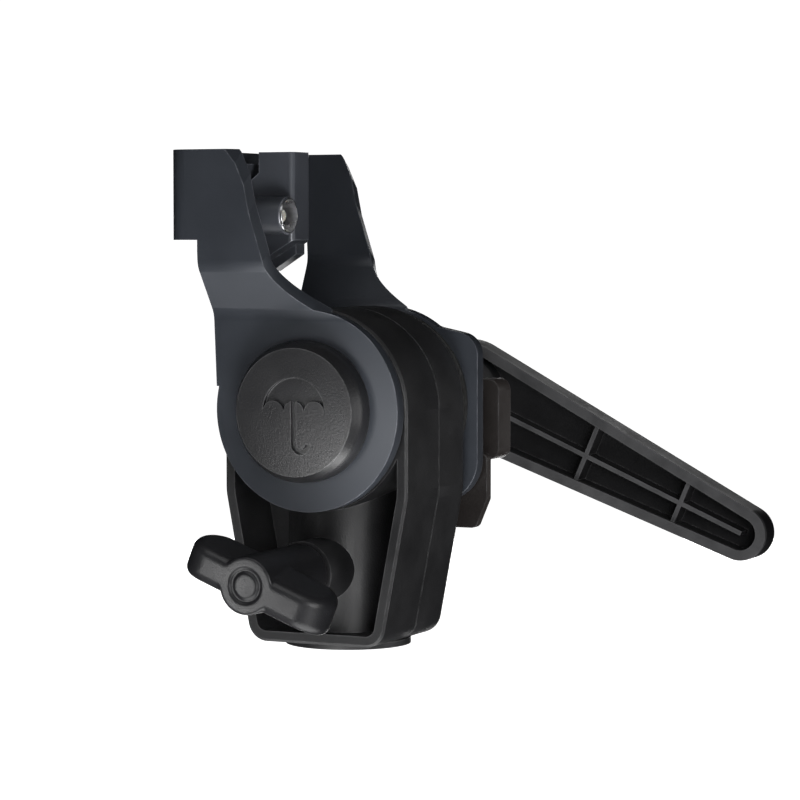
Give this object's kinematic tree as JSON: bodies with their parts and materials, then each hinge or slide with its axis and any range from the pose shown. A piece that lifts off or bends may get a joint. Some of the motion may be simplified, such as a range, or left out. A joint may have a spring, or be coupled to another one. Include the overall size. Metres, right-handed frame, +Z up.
{
  "type": "umbrella swivel bracket",
  "caption": "Lever-clamped tilt bracket that joins a studio lamp to a light stand: bent yoke, moulded head and stand socket with tee knob, umbrella sleeve and ribbed clamp lever.",
  "frame": {"origin": "centre of the stand socket's mouth, on the stand's axis", "axes": "+Z up along the stand; Y is the tilt axis, from the capped arm at -Y to the lever at +Y; the lamp looks towards -X and the umbrella's shaft runs along X"},
  "size_m": [0.1045, 0.1168, 0.1055],
  "materials": {
    "body_moulding": "fine-grained black glass-filled nylon",
    "cap_moulding": "fine-grained black plastic",
    "block_moulding": "black plastic, slightly brown",
    "knob_moulding": "satin black plastic",
    "lever_moulding": "satin black plastic",
    "lever_cap_moulding": "satin black plastic",
    "yoke_paint": "dark blue-grey powder coat, satin",
    "post_paint": "dark blue-grey powder coat, satin",
    "sleeve_chrome": "bright plated tube",
    "bolt_steel": "zinc-plated steel",
    "sleeve_steel": "turned steel",
    "washer_steel": "zinc-plated steel",
    "spring_steel": "spring steel",
    "nut_steel": "zinc-plated steel",
    "screw_steel": "blackened steel",
    "insert_brass": "turned brass",
    "liner_aluminium": "turned aluminium",
    "friction_fibre": "black friction fibre",
    "bush_acetal": "natural acetal",
    "pad_nylon": "natural nylon"
  },
  "bodies": {
    "stand": {"stand_body": "body_moulding", "socket_liner": "liner_aluminium", "knob_insert": "insert_brass", "pivot_sleeve": "sleeve_steel", "pivot_bolt": "bolt_steel", "front_thrust_washer": "washer_steel", "pivot_cap": "cap_moulding", "front_friction_washer": "friction_fibre", "rear_friction_washer": "friction_fibre", "pressure_disc": "friction_fibre", "pressure_block": "block_moulding", "disc_springs": "spring_steel", "thrust_washer": "washer_steel"},
    "yoke": {"yoke": "yoke_paint", "arm_bushes": "bush_acetal", "umbrella_post": "post_paint", "umbrella_sleeve": "sleeve_chrome", "post_screws": "screw_steel"},
    "shaft_pad": {"umbrella_pad": "pad_nylon"},
    "shaft_screw": {"umbrella_lock_screw": "screw_steel"},
    "nut": {"clamp_nut": "nut_steel", "lever_screw": "screw_steel", "lever_spring": "spring_steel"},
    "lever": {"lever_handle": "lever_moulding", "lever_cap": "lever_cap_moulding"},
    "spigot_pad": {"clamp_pad": "insert_brass"},
    "knob": {"tee_knob": "knob_moulding", "knob_stud": "screw_steel"}
  },
  "joints": [
    {"name": "yoke_tilt", "type": "hinge", "parent": "stand", "child": "yoke", "pos_m": [0, 0, 0.0508], "axis": [0, 1, 0], "range_deg": [-75, 70]},
    {"name": "lever_turn", "type": "hinge", "parent": "stand", "child": "nut", "pos_m": [0, 0.048, 0.0508], "axis": [0, 1, 0], "range_deg": [-60, 60]},
    {"name": "lever_pull", "type": "slide", "parent": "nut", "child": "lever", "axis": [0, 1, 0], "range_m": [0, 0.0042], "deforming": ["lever_spring"]},
    {"name": "pad_travel", "type": "slide", "parent": "stand", "child": "spigot_pad", "axis": [0, 1, 0], "range_m": [-0.00187, 0.00073]},
    {"name": "knob_turn", "type": "hinge", "parent": "spigot_pad", "child": "knob", "pos_m": [0, -0.03, 0.0169], "axis": [0, 1, 0], "range_deg": [-545, 215]},
    {"name": "lock_pad_travel", "type": "slide", "parent": "yoke", "child": "shaft_pad", "axis": [0, -1, 0], "range_m": [-0.0002, 0.0008]},
    {"name": "lock_screw_turn", "type": "hinge", "parent": "shaft_pad", "child": "shaft_screw", "pos_m": [-0.0173, 0.006, 0.0917], "axis": [0, -1, 0], "range_deg": [-95, 365]}
  ],
  "couplings": [
    {"joint": "knob_turn", "follows": "pad_travel", "rad_per_m": 5026.6},
    {"joint": "lock_screw_turn", "follows": "lock_pad_travel", "rad_per_m": 7854}
  ]
}
